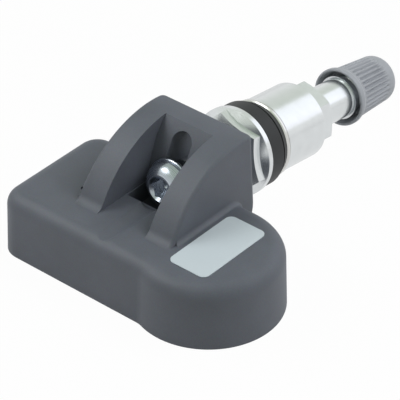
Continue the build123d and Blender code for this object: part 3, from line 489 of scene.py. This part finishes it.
def smooth_piece(name, shape, sharp_degrees, material):
    """Turns an edited shape into a smooth piece, with sharp edges above this angle."""
    bmesh.ops.recalc_face_normals(shape, faces=shape.faces)
    open_edges = sum(not edge.is_manifold for edge in shape.edges)
    mesh = bpy.data.meshes.new(name)
    shape.to_mesh(mesh)
    shape.free()
    # A copied solid brings its old shading along, which no longer fits the new faces.
    if "custom_normal" in mesh.attributes:
        mesh.attributes.remove(mesh.attributes["custom_normal"])
    mesh.shade_smooth()
    mesh.set_sharp_from_angle(angle=math.radians(sharp_degrees))
    mesh.materials.append(material)
    print(name, "has", len(mesh.polygons), "faces and", open_edges, "open edges")
    return add_object(name, mesh)


# %% [markdown]
# ## The cap's outline
# A dust cap is moulded as a short bell: a rounded lip, a skirt that narrows, a slight taper and a full
# dome. It is hollow, with a mouth that clears the stem and a bore for its thread. Half of a section
# through it is enough, because the rest follows by turning that half round the axis. We list its points
# from the bore's end, out over the lip and back along the outside to the dome's tip. Sizes are in
# millimetres, and places along the cap count from the lip.

# %% The cap's outline
LIP_RADIUS, MOUTH_RADIUS, THROAT_RADIUS, BORE_RADIUS = 6.0, 5.4, 4.6, 3.93
MOUTH_DEPTH, BORE_DEPTH = 2.6, 12.7
NECK_START, NECK_END, NECK_RADIUS = 0.9, 2.0, 5.5
DOME_START, DOME_RADIUS, DOME_FULLNESS = 11.7, 4.9, 2.4
LIP_STEPS, NECK_STEPS, TAPER_STEPS, DOME_STEPS = 8, 8, 40, 24
cap_places = [along_valve(vertex.co) / MM for vertex in nodes["valve_cap"].data.vertices]
cap_start = min(cap_places)
cap_length = max(cap_places) - cap_start
lip_round = (LIP_RADIUS - MOUTH_RADIUS) / 2
profile = [
    (0.0, BORE_DEPTH),
    (BORE_RADIUS, BORE_DEPTH),
    (BORE_RADIUS, MOUTH_DEPTH),
    (THROAT_RADIUS, MOUTH_DEPTH),
]
for step in range(LIP_STEPS + 1):
    turn = math.pi * step / LIP_STEPS
    lip_radius = MOUTH_RADIUS + lip_round * (1 - math.cos(turn))
    profile.append((lip_radius, lip_round * (1 - math.sin(turn))))
for step in range(NECK_STEPS + 1):
    share = step / NECK_STEPS
    skirt_radius = LIP_RADIUS - (LIP_RADIUS - NECK_RADIUS) * smooth(share)
    profile.append((skirt_radius, NECK_START + (NECK_END - NECK_START) * share))
for step in range(1, TAPER_STEPS + 1):
    share = step / TAPER_STEPS
    taper_radius = NECK_RADIUS - (NECK_RADIUS - DOME_RADIUS) * share
    profile.append((taper_radius, NECK_END + (DOME_START - NECK_END) * share))
for step in range(1, DOME_STEPS + 1):
    rise = math.sin(math.pi / 2 * step / DOME_STEPS)
    dome_radius = DOME_RADIUS * max(1 - rise**DOME_FULLNESS, 0.0) ** (1 / DOME_FULLNESS)
    profile.append((dome_radius, DOME_START + (cap_length - DOME_START) * rise))
print("cap is", round(cap_length, 2), "mm long, with", len(profile), "points in its outline")

# %% [markdown]
# ## The cap's finger grooves
# Shallow grooves run along the taper, so that fingers can turn the cap, and fade out before the dome.
# The solid has plain cuts with square ends. Here a groove is one more sink in each ring's radius,
# deepest on its own centre line and nothing at its two ends. Each groove gets nine columns of points,
# spaced in twelfths of its half width, and the outer two lie on the ribs beside it.

# %% The cap with fading grooves
GROOVES, GROOVE_HALF_WIDTH, GROOVE_DEPTH = 32, 0.32, 0.52
GROOVE_START, GROOVE_RUN_IN = 2.2, 0.7
GROOVE_END, GROOVE_RUN_OUT = 11.3, 1.8
TWELFTHS_ACROSS = (-14, -10, -7, -3, 0, 3, 7, 10, 14)
CAP_SHARP_DEGREES = 38
CAP_WELD_MM = 0.001
groove_turn = 2 * math.pi / GROOVES


def groove_sink(radius, place, angle):
    """How deep the nearest finger groove is here."""
    if radius <= THROAT_RADIUS or place < NECK_END:
        return 0.0
    off_centre = (angle / groove_turn + 0.5) % 1.0 - 0.5
    across = abs(off_centre) * groove_turn * radius / GROOVE_HALF_WIDTH
    run_in = smooth((place - GROOVE_START) / GROOVE_RUN_IN)
    run_out = smooth((GROOVE_END - place) / GROOVE_RUN_OUT)
    return GROOVE_DEPTH * run_in * run_out * max(1 - across**2, 0.0)


columns = [step / 12 * GROOVE_HALF_WIDTH / DOME_RADIUS for step in TWELFTHS_ACROSS]
angles = [groove * groove_turn + column for groove in range(GROOVES) for column in columns]
cap_shape = bmesh.new()
cap_rings = []
for radius, place in profile:
    ring = []
    for angle in angles:
        reach = max(radius - groove_sink(radius, place, angle), 0.0)
        ring.append(cap_shape.verts.new(valve_point(cap_start + place, reach, angle)))
    cap_rings.append(ring)
join_rings(cap_shape, cap_rings)
bmesh.ops.remove_doubles(cap_shape, verts=cap_shape.verts, dist=CAP_WELD_MM * MM)
ribbed_cap = smooth_piece("ribbed_cap", cap_shape, CAP_SHARP_DEGREES, cap_nylon)
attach(ribbed_cap, "cap")
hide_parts("valve_cap")

# %% [markdown]
# ## How a thread is cut
# A thread could be a dark stripe painted on the metal, but its edge would stay straight when seen from
# the side. So we take the plain round wall out of a copy of the solid and put in a finer one, whose
# radius dips in a rounded V once a turn. The thread runs out at both ends, and the new wall is joined
# to the copy's own edges, so that the mesh stays closed.

# %% A helper that cuts a thread
THREAD_COLUMNS = 96
RINGS_A_TURN = 10
RUN_OUT_TURNS = 1.5
WALL_TOLERANCE_MM = 0.02


def cut_thread(shape, radius, first, last, pitch, depth):
    """Swaps the round wall of this radius between two places for a threaded one, in millimetres."""

    def on_wall(vertex):
        place = along_valve(vertex.co) / MM
        off_axis = (vertex.co - valve_root) / MM - valve_out * place
        return abs(off_axis.length - radius) < WALL_TOLERANCE_MM and first < place < last

    wall = [face for face in shape.faces if all(on_wall(vertex) for vertex in face.verts)]
    places = [along_valve(vertex.co) / MM for face in wall for vertex in face.verts]
    start, end = min(places), max(places)
    bmesh.ops.delete(shape, geom=wall, context="FACES")
    open_edges = [edge for edge in shape.edges if edge.is_boundary]
    rims = [edge for edge in open_edges if all(on_wall(vertex) for vertex in edge.verts)]
    run_out = pitch * RUN_OUT_TURNS
    count = round((end - start) / pitch * RINGS_A_TURN)
    rings = []
    for step in range(1, count):
        place = start + (end - start) * step / count
        sink = depth * smooth((place - start) / run_out) * smooth((end - place) / run_out)
        ring = []
        for column in range(THREAD_COLUMNS):
            turn = column / THREAD_COLUMNS
            off_crest = abs(2 * ((place / pitch + turn) % 1.0) - 1)
            reach = radius - sink * smooth(1 - off_crest)
            ring.append(shape.verts.new(valve_point(place, reach, 2 * math.pi * turn)))
        rings.append(ring)
    join_rings(shape, rings)
    middle = (start + end) / 2
    for ring, nearer in ((rings[0], True), (rings[-1], False)):
        edges = [edge for edge in rims if (along_valve(edge.verts[0].co) / MM < middle) == nearer]
        edges += [shape.edges.get((ring[column - 1], ring[column])) for column in range(THREAD_COLUMNS)]
        bmesh.ops.bridge_loops(shape, edges=edges)
    print("thread from", round(start, 2), "to", round(end, 2), "mm,", len(rims), "rim edges")


# %% [markdown]
# ## The stem's two threads
# The nut runs on a fine thread, one millimetre from turn to turn, and the cap on the common valve
# thread of 32 turns to the inch. They show when the nut or the cap is off. The solid has plain round
# walls in both places, and the helper finds each by its radius and by the stretch that it lies in,
# counted in millimetres from the swivel line.

# %% The stem with both threads
CLAMP_THREAD = {"radius": 4.9, "first": -1.0, "last": 21.0, "pitch": 1.0, "depth": 0.5}
VALVE_THREAD = {"radius": 3.85, "first": 32.0, "last": 43.6, "pitch": 25.4 / 32, "depth": 0.42}
STEM_SHARP_DEGREES = 30
STEM_WELD_MM = 0.0005
stem_shape = bmesh.new()
stem_shape.from_mesh(nodes["valve_stem"].data)
bmesh.ops.remove_doubles(stem_shape, verts=stem_shape.verts, dist=STEM_WELD_MM * MM)
cut_thread(stem_shape, **CLAMP_THREAD)
cut_thread(stem_shape, **VALVE_THREAD)
threaded_stem = smooth_piece("threaded_stem", stem_shape, STEM_SHARP_DEGREES, anodised_aluminium)
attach(threaded_stem, "valve")
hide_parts("valve_stem")

# %% [markdown]
# ## The core's spring
# A spring gets shorter as the pin is pressed, and a rigid solid can't. A copy of the coil takes the
# solid's place on the valve's body, with a mesh of its own, and this script doesn't press it together.

# %% A copy of the coil
coil_mesh = nodes["core_spring"].data.copy()
pressed_coil = add_object("pressed_coil", coil_mesh)
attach(pressed_coil, "valve")
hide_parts("core_spring")
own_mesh(pressed_coil)

# %% [markdown]
# ## Inside the housing: the circuit board
# The board is glass-epoxy sheet with a green solder mask over copper. Where copper runs under the
# mask, the green is lighter. A brick pattern with broken rows gives lines about 0.3 mm wide and 1.2 mm
# apart, that read as wiring without being any one circuit.

# %% Green solder mask
TRACK_PITCH_MM = 1.2
TRACK_STEP_MM = 0.03
solder_mask, shader = new_surface("green_solder_mask", roughness=0.3, ior=1.52)
place = add_node(solder_mask, "ShaderNodeTexCoord").outputs["Object"]
tracks = add_node(
    solder_mask,
    "ShaderNodeTexBrick",
    {
        "Color1": linear("#1d6a3f"),
        "Color2": linear("#175a35"),
        "Mortar": linear("#2c8a55"),
        "Scale": 1 / (TRACK_PITCH_MM * MM),
        "Mortar Size": 0.12,
        "Brick Width": 2.7,
        "Row Height": 1.0,
    },
    {"Vector": place},
    offset=0.37,
    squash=1.6,
    squash_frequency=3,
)
track_step = add_node(
    solder_mask,
    "ShaderNodeBump",
    {"Strength": 0.4, "Distance": TRACK_STEP_MM * MM},
    {"Height": tracks.outputs["Fac"]},
)
plug(solder_mask, shader, base_color=tracks.outputs["Color"], normal=track_step.outputs["Normal"])
wear(solder_mask, "circuit_board")

# %% [markdown]
# ## Inside the housing: plated sheet
# The cell's can, its tabs and the resonator's lid are thin steel with nickel on it. Rolled sheet has
# fine straight scratches, so the noise is stretched along X. They are drawn about 0.15 mm apart.

# %% Nickel plate
SCRATCH_MM = 0.15
SCRATCH_STRETCH = 0.03
nickel_plate, shader = new_surface("rolled_nickel_plate", base_color=linear("#c9c6bd"), metallic=1.0)
place = add_node(nickel_plate, "ShaderNodeTexCoord").outputs["Object"]
across_sheet = 1 / (SCRATCH_MM * MM)
rolled = add_node(
    nickel_plate,
    "ShaderNodeMapping",
    {"Scale": (SCRATCH_STRETCH * across_sheet, across_sheet, across_sheet)},
    {"Vector": place},
)
scratch = add_node(
    nickel_plate,
    "ShaderNodeTexNoise",
    {"Scale": 1.0, "Detail": 3.0},
    {"Vector": rolled.outputs["Vector"]},
)
polish = add_node(
    nickel_plate,
    "ShaderNodeMapRange",
    {"To Min": 0.18, "To Max": 0.38},
    {"Value": scratch.outputs["Fac"]},
)
plug(nickel_plate, shader, roughness=polish.outputs["Result"])
wear(nickel_plate, "battery", "positive_tab", "negative_tab", "resonator")

# %% [markdown]
# ## Inside the housing: the pressure chip
# The chip is cast in black epoxy with silica grains in it. The grains show as specks that are lighter
# and duller than the epoxy, so one fine noise drives both.

# %% Black moulding compound
GRIT_MM = 0.12
mould_compound, shader = new_surface("black_moulding_compound", ior=1.55)
place = add_node(mould_compound, "ShaderNodeTexCoord").outputs["Object"]
grit = add_node(
    mould_compound,
    "ShaderNodeTexNoise",
    {"Scale": 1 / (GRIT_MM * MM), "Detail": 2.0},
    {"Vector": place},
)
epoxy = add_node(
    mould_compound,
    "ShaderNodeMix",
    {"A": linear("#17181a"), "B": linear("#2b2d30")},
    {"Factor": grit.outputs["Fac"]},
    data_type="RGBA",
)
gloss = add_node(
    mould_compound,
    "ShaderNodeMapRange",
    {"To Min": 0.4, "To Max": 0.6},
    {"Value": grit.outputs["Fac"]},
)
plug(mould_compound, shader, base_color=epoxy.outputs["Result"], roughness=gloss.outputs["Result"])
wear(mould_compound, "sensor_chip")

# %% [markdown]
# ## Inside the housing: the wake-up coil
# The coil is enamelled copper wire on a ferrite bar. Hundreds of turns would be a heavy mesh that
# nobody sees, so bands of wire width run round it instead, raised on the wire, with painted shade
# in the gaps between the turns.
# Blender's wave pattern repeats every pi / 10 at scale one, and its scale follows from that.

# %% Enamelled copper winding
WIRE_MM = 0.2
WIRE_DEPTH_MM = 0.08
WAVE_REPEAT = math.pi / 10
winding, shader = new_surface("enamelled_copper_winding", roughness=0.3, metallic=0.8)
place = add_node(winding, "ShaderNodeTexCoord").outputs["Object"]
turns = add_node(
    winding,
    "ShaderNodeTexWave",
    {"Scale": WAVE_REPEAT / (WIRE_MM * MM), "Distortion": 0.4, "Detail": 1.0},
    {"Vector": place},
    wave_type="BANDS",
    bands_direction="Y",
)
# The dark tone in the gaps between the bands is painted shade, not a colour of the wire.
copper_and_gap_shade = add_node(
    winding,
    "ShaderNodeMix",
    {"A": linear("#5b2a12"), "B": linear("#b4622e")},
    {"Factor": turns.outputs["Fac"]},
    data_type="RGBA",
)
wires = add_node(
    winding,
    "ShaderNodeBump",
    {"Strength": 0.8, "Distance": WIRE_DEPTH_MM * MM},
    {"Height": turns.outputs["Fac"]},
)
plug(winding, shader, base_color=copper_and_gap_shade.outputs["Result"], normal=wires.outputs["Normal"])
wear(winding, "wake_coil")

# %% [markdown]
# ## Inside the housing: the antenna
# The antenna is copper wire dipped in molten tin. The dip leaves patches that are brighter or duller,
# so a noise moves the roughness and the colour stays the same.

# %% Tinned wire
TIN_MM = 0.3
tinned_wire, shader = new_surface("tinned_copper_wire", base_color=linear("#c4c6c8"), metallic=1.0)
place = add_node(tinned_wire, "ShaderNodeTexCoord").outputs["Object"]
dip = add_node(
    tinned_wire,
    "ShaderNodeTexNoise",
    {"Scale": 1 / (TIN_MM * MM), "Detail": 3.0},
    {"Vector": place},
)
tin_gloss = add_node(
    tinned_wire,
    "ShaderNodeMapRange",
    {"To Min": 0.22, "To Max": 0.42},
    {"Value": dip.outputs["Fac"]},
)
plug(tinned_wire, shader, roughness=tin_gloss.outputs["Result"])
wear(tinned_wire, "antenna")

# %% [markdown]
# ## Inside the housing: the capacitors
# They are tan ceramic with a tinned cap at each end. Two materials would need the mesh to be split, so
# one material tells the ends apart by how far along Y a point is from the middle of the row.

# %% Ceramic capacitors with tinned ends
END_CAP_MM = 0.45
low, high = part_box("chip_capacitors")
ceramic, shader = new_surface("ceramic_with_tinned_ends", ior=1.6)
place = add_node(ceramic, "ShaderNodeTexCoord").outputs["Object"]
row = add_node(ceramic, "ShaderNodeSeparateXYZ", links={"Vector": place})
off_middle = add_node(
    ceramic,
    "ShaderNodeMath",
    {1: (low[1] + high[1]) / 2},
    {0: row.outputs["Y"]},
    operation="SUBTRACT",
)
distance = add_node(
    ceramic,
    "ShaderNodeMath",
    links={0: off_middle.outputs["Value"]},
    operation="ABSOLUTE",
)
end_cap = add_node(
    ceramic,
    "ShaderNodeMath",
    {1: (high[1] - low[1]) / 2 - END_CAP_MM * MM},
    {0: distance.outputs["Value"]},
    operation="GREATER_THAN",
)
body_tone = add_node(
    ceramic,
    "ShaderNodeMix",
    {"A": linear("#a07b52"), "B": linear("#c3c4c4")},
    {"Factor": end_cap.outputs["Value"]},
    data_type="RGBA",
)
body_gloss = add_node(
    ceramic,
    "ShaderNodeMapRange",
    {"To Min": 0.5, "To Max": 0.3},
    {"Value": end_cap.outputs["Value"]},
)
plug(
    ceramic,
    shader,
    base_color=body_tone.outputs["Result"],
    metallic=end_cap.outputs["Value"],
    roughness=body_gloss.outputs["Result"],
)
wear(ceramic, "chip_capacitors")

# %% [markdown]
# ## The core's seal
# A ring of PTFE, milky white and waxy, seals the valve's core on its seat. It scatters light a little
# below its skin, which softens its edges, so it has some subsurface light and two close whites.

# %% Milky PTFE
WAX_MM = 0.4
WAX_DEPTH_MM = 0.3
ptfe, shader = new_surface(
    "milky_ptfe",
    roughness=0.38,
    ior=1.38,
    subsurface_weight=0.2,
    subsurface_scale=WAX_DEPTH_MM * MM,
)
place = add_node(ptfe, "ShaderNodeTexCoord").outputs["Object"]
wax = add_node(
    ptfe,
    "ShaderNodeTexNoise",
    {"Scale": 1 / (WAX_MM * MM), "Detail": 2.0},
    {"Vector": place},
)
milk = add_node(
    ptfe,
    "ShaderNodeMix",
    {"A": linear("#dcdad2"), "B": linear("#e8e6df")},
    {"Factor": wax.outputs["Fac"]},
    data_type="RGBA",
)
plug(ptfe, shader, base_color=milk.outputs["Result"])
wear(ptfe, "core_seal")
print("pieces without a finish:", sorted(set(nodes) - finished))

# %% [markdown]
# ## Camera
# The photograph looks down at the sensor from the front right, from far away with a long lens, so
# parallel edges stay nearly parallel. A camera could be placed by its coordinates, but it is easier to
# adjust by its compass angle, its height angle and its distance from the middle of the object. The
# lamps are placed in the same way, so one function aims them all.

# %% Camera
PHOTO_PIXELS = 400
FOCAL_PIXELS = 2600.0
SENSOR_MM = 36.0
NEAR_CLIP = 10 * MM
CAMERA_COMPASS = 40.25
CAMERA_HEIGHT = 36.09
CAMERA_DISTANCE = 494.5 * MM
LOOK_AT = Vector((-0.34, 9.46, 6.0)) * MM


def aim(thing, compass, height, distance):
    """Stands a camera or lamp off and turns it to the object. Compass degrees count from the front."""
    turn, rise = math.radians(compass), math.radians(height)
    away = Vector((math.sin(turn) * math.cos(rise), -math.cos(turn) * math.cos(rise), math.sin(rise)))
    thing.location = LOOK_AT + away * distance
    thing.rotation_euler = away.to_track_quat("Z", "Y").to_euler()


camera_data = bpy.data.cameras.new("studio_camera")
camera_data.sensor_width = SENSOR_MM
camera_data.lens = FOCAL_PIXELS / PHOTO_PIXELS * SENSOR_MM
camera_data.clip_start = NEAR_CLIP
camera = add_object("studio_camera", camera_data)
aim(camera, CAMERA_COMPASS, CAMERA_HEIGHT, CAMERA_DISTANCE)
bpy.context.scene.camera = camera
print("lens in mm:", round(camera_data.lens, 1))

# %% [markdown]
# ## White paint for the floor and the block
# Product photographs of small parts are taken in a white tent. A painted floor in it never comes out
# quite white, so this paint shows as white to the camera, with a small share of its plain surface kept
# for the soft shadow. Metal sees a larger share of that plain surface, because the underside of a
# bright nut would otherwise be lost against the white.

# %% White paint
FLOOR_WHITE_SHARE = 0.97
FLOOR_MIRROR_SHARE = 0.7


def ray_kinds(owner):
    """The light path node, and a node that is 1 where a ray comes off or through something shiny."""
    path = add_node(owner, "ShaderNodeLightPath")
    mirrored = add_node(
        owner,
        "ShaderNodeMath",
        links={0: path.outputs["Is Glossy Ray"], 1: path.outputs["Is Transmission Ray"]},
        operation="MAXIMUM",
    )
    return path, mirrored


white_paint, shader = new_surface("matt_white_paint", base_color=linear("#d2d3d3"), roughness=0.9)
path, mirrored = ray_kinds(white_paint)
mirror_share = add_node(
    white_paint,
    "ShaderNodeMath",
    {1: FLOOR_MIRROR_SHARE},
    {0: mirrored.outputs["Value"]},
    operation="MULTIPLY",
)
camera_share = add_node(
    white_paint,
    "ShaderNodeMath",
    {1: FLOOR_WHITE_SHARE},
    {0: path.outputs["Is Camera Ray"]},
    operation="MULTIPLY",
)
white_share = add_node(
    white_paint,
    "ShaderNodeMath",
    links={0: camera_share.outputs["Value"], 1: mirror_share.outputs["Value"]},
    operation="MAXIMUM",
)
white = add_node(white_paint, "ShaderNodeEmission", {"Color": (1, 1, 1, 1), "Strength": 1.0})
mix = add_node(
    white_paint,
    "ShaderNodeMixShader",
    links={0: white_share.outputs["Value"], 1: shader.outputs["BSDF"], 2: white.outputs["Emission"]},
)
surface = white_paint.node_tree.nodes["Material Output"].inputs["Surface"]
white_paint.node_tree.links.new(mix.outputs["Shader"], surface)
print(white_paint.name, "is", FLOOR_WHITE_SHARE, "white to the camera")

# %% [markdown]
# ## Floor and block
# A large pale floor stands in for the tent's bottom. The housing stands on a low block of the same
# white, because the valve droops past the housing's underside at its limit, and needs room there. So
# the block ends just behind the housing.

# %% Pale floor and block
FLOOR_SIDE = 6.0
BLOCK_HEIGHT = 30 * MM
BLOCK_TOP = -0.02 * MM
BLOCK_HALF_WIDTH = 70 * MM
BLOCK_FRONT, BLOCK_BACK = -70 * MM, 18 * MM
half = FLOOR_SIDE / 2
floor_level = BLOCK_TOP - BLOCK_HEIGHT
floor_corners = [(-half, -half), (half, -half), (half, half), (-half, half)]
block_corners = [
    (-BLOCK_HALF_WIDTH, BLOCK_FRONT),
    (BLOCK_HALF_WIDTH, BLOCK_FRONT),
    (BLOCK_HALF_WIDTH, BLOCK_BACK),
    (-BLOCK_HALF_WIDTH, BLOCK_BACK),
]
block_points = [(x, y, z) for z in (floor_level, BLOCK_TOP) for x, y in block_corners]
block_faces = [(3, 2, 1, 0), (4, 5, 6, 7), (0, 1, 5, 4), (1, 2, 6, 5), (2, 3, 7, 6), (3, 0, 4, 7)]
stage_shapes = {
    "pale_floor": ([(x, y, floor_level) for x, y in floor_corners], [(0, 1, 2, 3)]),
    "pale_block": (block_points, block_faces),
}
for name, (points, faces) in stage_shapes.items():
    stage_mesh = bpy.data.meshes.new(name)
    stage_mesh.from_pydata(points, [], faces)
    stage_mesh.materials.append(white_paint)
    stage = add_object(name, stage_mesh)
print("block edge behind the housing at", round(BLOCK_BACK / MM), "mm")

# %% [markdown]
# ## The tent
# The tent's cloth is the world. Polished metal sees it as a pale grey-green overhead and white near
# the floor, as cloth with the lamps outside it looks. Dull surfaces get only part of that light, since
# the lamps give them the rest, and with all of it the plastic would look flat.

# %% White tent
TENT_LIGHT = 0.35
tent = bpy.data.worlds.new("white_tent")
tent.use_nodes = True
background = tent.node_tree.nodes["Background"]
way = add_node(tent, "ShaderNodeTexCoord").outputs["Generated"]
way_parts = add_node(tent, "ShaderNodeSeparateXYZ", links={"Vector": way})
cloth = add_node(
    tent,
    "ShaderNodeMix",
    {"A": linear("#ffffff"), "B": linear("#c4d0bd")},
    {"Factor": way_parts.outputs["Z"]},
    data_type="RGBA",
)
path, mirrored = ray_kinds(tent)
seen = add_node(
    tent,
    "ShaderNodeMath",
    links={0: path.outputs["Is Camera Ray"], 1: mirrored.outputs["Value"]},
    operation="MAXIMUM",
)
level = add_node(
    tent,
    "ShaderNodeMapRange",
    {"To Min": TENT_LIGHT, "To Max": 1.0},
    {"Value": seen.outputs["Value"]},
)
tent.node_tree.links.new(cloth.outputs["Result"], background.inputs["Color"])
tent.node_tree.links.new(level.outputs["Result"], background.inputs["Strength"])
bpy.context.scene.world = tent
print(tent.name, "lights dull surfaces at", TENT_LIGHT)

# %% [markdown]
# ## Lamps
# Two soft lamps, one at the front left and one behind on the right, give the plastic its tones. Their
# images would burn white holes into the metal, so metal doesn't see them. It sees two patches of lit
# cloth instead, one for the spark on the screw's head and one for the white band along the nut.

# %% Soft lamps and lit cloth
LAMP_DISTANCE = 500 * MM


def add_lamp(name, compass, height, size_mm, power, hex_colour="#ffffff"):
    """A square soft lamp that looks at the object from half a metre away."""
    lamp_data = bpy.data.lights.new(name, "AREA")
    lamp_data.size = size_mm * MM
    lamp_data.energy = power
    lamp_data.color = linear(hex_colour)[:3]
    lamp = add_object(name, lamp_data)
    aim(lamp, compass, height, LAMP_DISTANCE)
    print(name, "at", compass, "degrees,", power, "W")
    return lamp


soft_lamps = [
    add_lamp("left_softbox", compass=-55, height=40, size_mm=300, power=1.25),
    add_lamp("right_softbox", compass=125, height=50, size_mm=300, power=1.75),
]
for lamp in soft_lamps:
    lamp.visible_glossy = False
lit_cloth = [
    add_lamp("left_cloth", compass=-50, height=56, size_mm=220, power=0.6),
    add_lamp("back_cloth", compass=158, height=32.5, size_mm=364, power=0.27, hex_colour="#eeebff"),
]
for lamp in lit_cloth:
    lamp.visible_diffuse = False

# %% [markdown]
# ## Colours in the picture
# Blender can bend colours the way a film does. The Standard view doesn't, so a grey that was measured
# in the photograph comes out as it is written here.

# %% Colour handling
bpy.context.scene.view_settings.view_transform = "Standard"
print("view:", bpy.context.scene.view_settings.view_transform)
